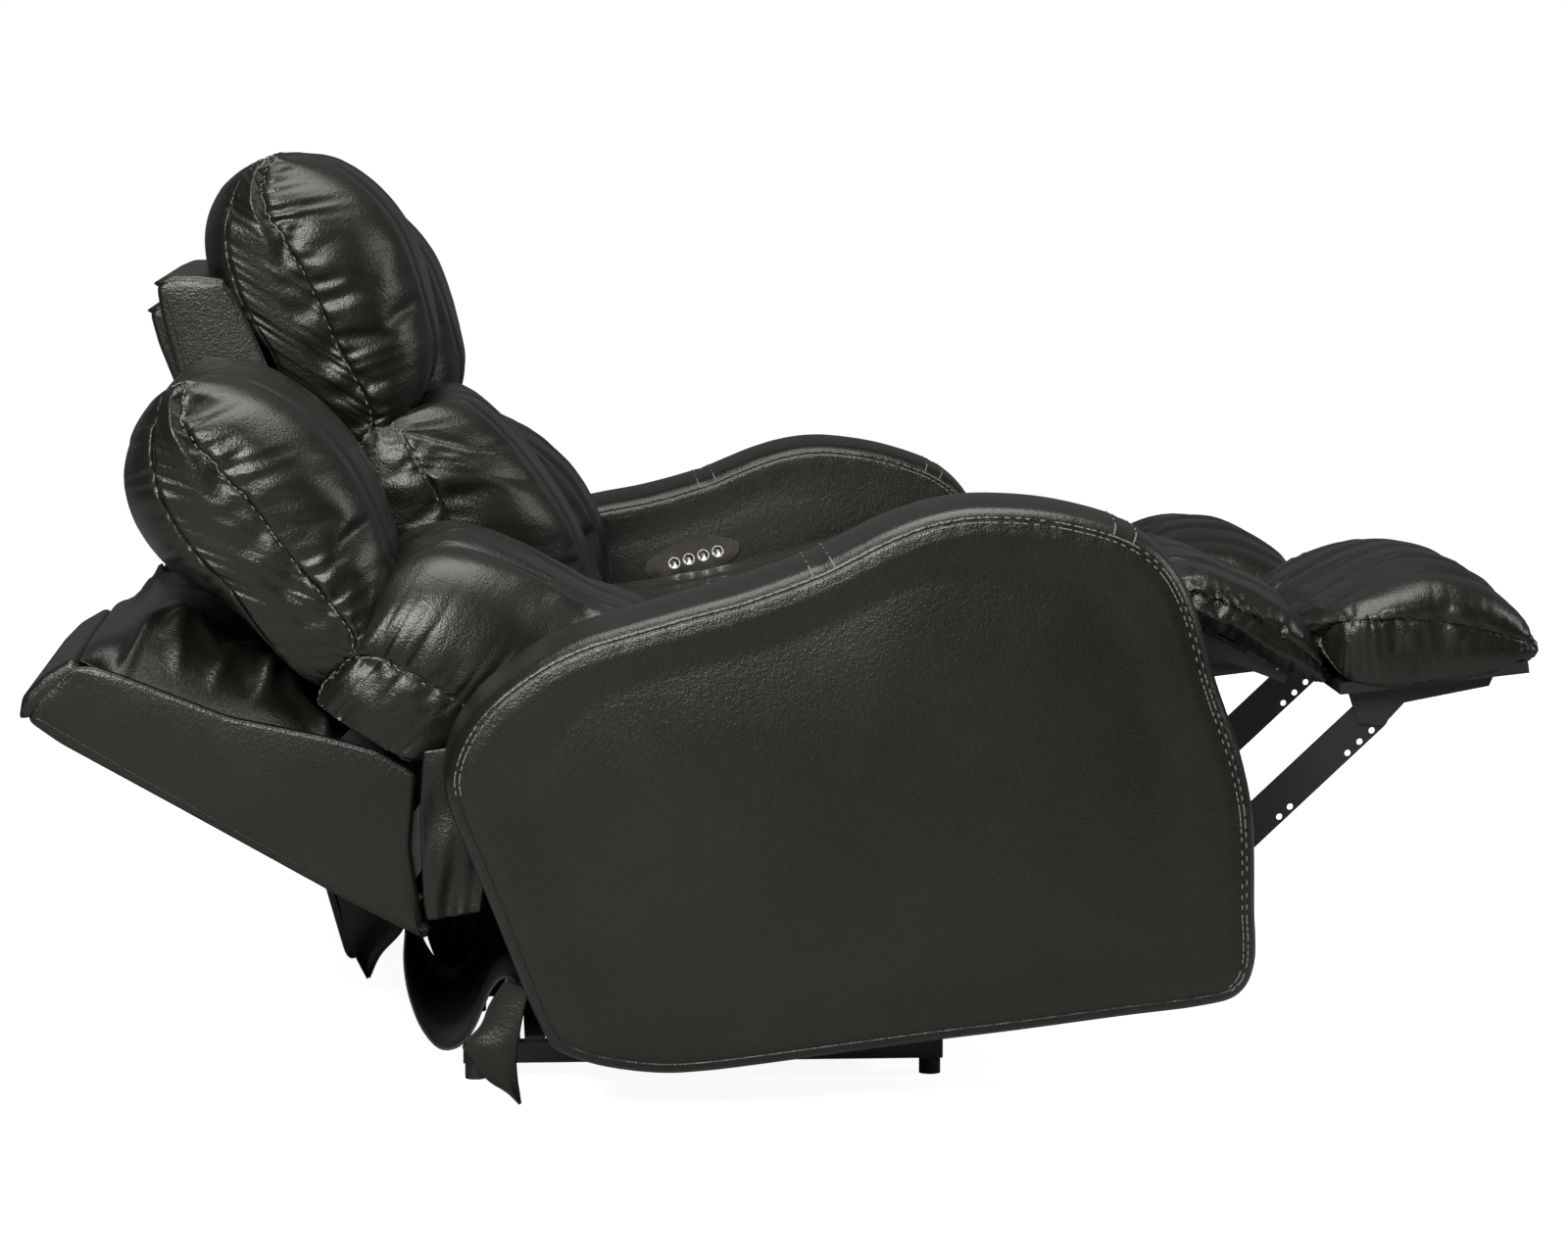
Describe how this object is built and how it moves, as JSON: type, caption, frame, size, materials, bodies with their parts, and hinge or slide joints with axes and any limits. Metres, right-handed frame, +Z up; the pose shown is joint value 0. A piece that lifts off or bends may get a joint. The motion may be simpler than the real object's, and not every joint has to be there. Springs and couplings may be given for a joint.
{
  "type": "reclining sofa",
  "caption": "Power reclining sofa in dark leather: lifting reclined seat, fixed seat, upright seat, tilting headrests, fold-out footrests, arm buttons.",
  "frame": {"origin": "on the floor, at mid width, halfway between the rearmost and the foremost point at rest", "axes": "+X along the width from the lifted seat to the lowered one, -Y to the front, +Z up"},
  "size_m": [2.14, 1.8055, 1.094],
  "materials": {
    "black_leather": "satin, fine grain",
    "black_steel": "satin black paint",
    "spring_steel": "bright zinc",
    "black_plastic": "matte",
    "plywood": "bare",
    "bronze_plate": "dark bronze chrome",
    "button_chrome": "bright",
    "dust_cloth": "matte woven"
  },
  "bodies": {
    "root": {"base_frames": "black_steel", "base_feet": "black_plastic", "middle_seat_box": "plywood", "middle_seat_springs": "spring_steel", "middle_front_panel": "black_leather", "middle_seat_cushion": "black_leather", "middle_back_shell": "black_leather", "middle_back_frame": "black_steel", "middle_lumbar_cushion": "black_leather", "middle_head_pillow": "black_leather"},
    "left_swing": {"left_swing_links": "black_steel"},
    "left_seat": {"left_arm": "black_leather", "left_arm_frame": "plywood", "left_seat_box": "plywood", "left_seat_springs": "spring_steel", "left_seat_cushion": "black_leather", "left_side_plates": "black_steel", "left_actuators": "black_plastic", "left_dust_curtain": "dust_cloth", "left_control_plate": "bronze_plate"},
    "left_back": {"left_back_shell": "black_leather", "left_back_frame": "black_steel", "left_lumbar_cushion": "black_leather"},
    "left_head": {"left_head_bracket": "black_steel", "left_head_pillow": "black_leather"},
    "left_rear_links": {"left_rear_leg_links": "black_steel"},
    "left_front_links": {"left_front_leg_links": "black_steel"},
    "left_foot": {"left_foot_bracket": "black_steel", "left_foot_pad": "black_leather"},
    "left_mid": {"left_mid_bracket": "black_steel", "left_mid_pad": "black_leather"},
    "left_recline_key": {"left_recline_button": "button_chrome"},
    "left_return_key": {"left_return_button": "button_chrome"},
    "left_head_up_key": {"left_head_up_button": "button_chrome"},
    "left_head_down_key": {"left_head_down_button": "button_chrome"},
    "right_swing": {"right_swing_links": "black_steel"},
    "right_seat": {"right_arm": "black_leather", "right_arm_frame": "plywood", "right_seat_box": "plywood", "right_seat_springs": "spring_steel", "right_seat_cushion": "black_leather", "right_side_plates": "black_steel", "right_actuators": "black_plastic", "right_dust_curtain": "dust_cloth", "right_control_plate": "bronze_plate"},
    "right_back": {"right_back_shell": "black_leather", "right_back_frame": "black_steel", "right_lumbar_cushion": "black_leather"},
    "right_head": {"right_head_bracket": "black_steel", "right_head_pillow": "black_leather"},
    "right_rear_links": {"right_rear_leg_links": "black_steel"},
    "right_front_links": {"right_front_leg_links": "black_steel"},
    "right_foot": {"right_foot_bracket": "black_steel", "right_foot_pad": "black_leather"},
    "right_mid": {"right_mid_bracket": "black_steel", "right_mid_pad": "black_leather"},
    "right_recline_key": {"right_recline_button": "button_chrome"},
    "right_return_key": {"right_return_button": "button_chrome"},
    "right_head_up_key": {"right_head_up_button": "button_chrome"},
    "right_head_down_key": {"right_head_down_button": "button_chrome"}
  },
  "joints": [
    {"name": "left_lift", "type": "hinge", "parent": "root", "child": "left_swing", "pos_m": [-0.58, 0.1126, 0.076], "axis": [1, 0, 0], "range_deg": [-43, 0]},
    {"name": "left_tilt", "type": "hinge", "parent": "left_swing", "child": "left_seat", "pos_m": [-0.58, 0.13161, 0.19491], "axis": [-1, 0, 0], "range_deg": [-47.2, 0]},
    {"name": "left_recline", "type": "hinge", "parent": "left_seat", "child": "left_back", "pos_m": [-0.58, 0.18047, 0.50516], "axis": [-1, 0, 0], "range_deg": [-41.2, 0]},
    {"name": "left_headrest", "type": "hinge", "parent": "left_back", "child": "left_head", "pos_m": [-0.58, 0.51436, 0.42293], "axis": [1, 0, 0], "range_deg": [-33.4, 0]},
    {"name": "left_legs", "type": "hinge", "parent": "left_seat", "child": "left_rear_links", "pos_m": [-0.58, -0.32394, 0.40885], "axis": [1, 0, 0], "range_deg": [0, 65]},
    {"name": "left_knee", "type": "hinge", "parent": "left_rear_links", "child": "left_front_links", "pos_m": [-0.58, -0.54348, 0.2866], "axis": [-1, 0, 0], "range_deg": [0, 74.3]},
    {"name": "left_foot", "type": "hinge", "parent": "left_front_links", "child": "left_foot", "pos_m": [-0.58, -0.70484, 0.43782], "axis": [1, 0, 0], "range_deg": [0, 97.3]},
    {"name": "left_mid", "type": "hinge", "parent": "left_seat", "child": "left_mid", "pos_m": [-0.58, -0.42198, 0.5484], "axis": [1, 0, 0], "range_deg": [0, 80]},
    {"name": "left_recline_press", "type": "slide", "parent": "left_seat", "child": "left_recline_key", "axis": [-1, 0, 0], "range_m": [0, 0.002], "stiffness_N_per_m": 300},
    {"name": "left_return_press", "type": "slide", "parent": "left_seat", "child": "left_return_key", "axis": [-1, 0, 0], "range_m": [0, 0.002], "stiffness_N_per_m": 300},
    {"name": "left_head_up_press", "type": "slide", "parent": "left_seat", "child": "left_head_up_key", "axis": [-1, 0, 0], "range_m": [0, 0.002], "stiffness_N_per_m": 300},
    {"name": "left_head_down_press", "type": "slide", "parent": "left_seat", "child": "left_head_down_key", "axis": [-1, 0, 0], "range_m": [0, 0.002], "stiffness_N_per_m": 300},
    {"name": "right_lift", "type": "hinge", "parent": "root", "child": "right_swing", "pos_m": [0.58, 0.1126, 0.076], "axis": [1, 0, 0], "range_deg": [0, 43]},
    {"name": "right_tilt", "type": "hinge", "parent": "right_swing", "child": "right_seat", "pos_m": [0.58, 0.2076, 0.15], "axis": [-1, 0, 0], "range_deg": [0, 47.2]},
    {"name": "right_recline", "type": "hinge", "parent": "right_seat", "child": "right_back", "pos_m": [0.58, 0.2336, 0.463], "axis": [-1, 0, 0], "range_deg": [0, 35]},
    {"name": "right_headrest", "type": "hinge", "parent": "right_back", "child": "right_head", "pos_m": [0.58, 0.54433, 0.6103], "axis": [1, 0, 0], "range_deg": [-16, 17.4]},
    {"name": "right_legs", "type": "hinge", "parent": "right_seat", "child": "right_rear_links", "pos_m": [0.58, -0.2624, 0.33], "axis": [1, 0, 0], "range_deg": [0, 65]},
    {"name": "right_knee", "type": "hinge", "parent": "right_rear_links", "child": "right_front_links", "pos_m": [0.58, -0.4724, 0.192], "axis": [-1, 0, 0], "range_deg": [0, 74.3]},
    {"name": "right_foot", "type": "hinge", "parent": "right_front_links", "child": "right_foot", "pos_m": [0.58, -0.6444, 0.331], "axis": [1, 0, 0], "range_deg": [0, 97.3]},
    {"name": "right_mid", "type": "hinge", "parent": "right_seat", "child": "right_mid", "pos_m": [0.58, -0.3704, 0.462], "axis": [1, 0, 0], "range_deg": [0, 80]},
    {"name": "right_recline_press", "type": "slide", "parent": "right_seat", "child": "right_recline_key", "axis": [1, 0, 0], "range_m": [0, 0.002], "stiffness_N_per_m": 300},
    {"name": "right_return_press", "type": "slide", "parent": "right_seat", "child": "right_return_key", "axis": [1, 0, 0], "range_m": [0, 0.002], "stiffness_N_per_m": 300},
    {"name": "right_head_up_press", "type": "slide", "parent": "right_seat", "child": "right_head_up_key", "axis": [1, 0, 0], "range_m": [0, 0.002], "stiffness_N_per_m": 300},
    {"name": "right_head_down_press", "type": "slide", "parent": "right_seat", "child": "right_head_down_key", "axis": [1, 0, 0], "range_m": [0, 0.002], "stiffness_N_per_m": 300}
  ],
  "couplings": [
    {"joint": "left_tilt", "follows": "left_lift", "ratio": 1.0977},
    {"joint": "left_recline", "follows": "left_lift", "ratio": 0.95814},
    {"joint": "left_knee", "follows": "left_legs", "ratio": 1.1431},
    {"joint": "left_foot", "follows": "left_legs", "ratio": 1.4969},
    {"joint": "left_mid", "follows": "left_legs", "ratio": 1.2308},
    {"joint": "right_tilt", "follows": "right_lift", "ratio": 1.0977},
    {"joint": "right_recline", "follows": "right_lift", "ratio": 0.81395},
    {"joint": "right_knee", "follows": "right_legs", "ratio": 1.1431},
    {"joint": "right_foot", "follows": "right_legs", "ratio": 1.4969},
    {"joint": "right_mid", "follows": "right_legs", "ratio": 1.2308}
  ]
}
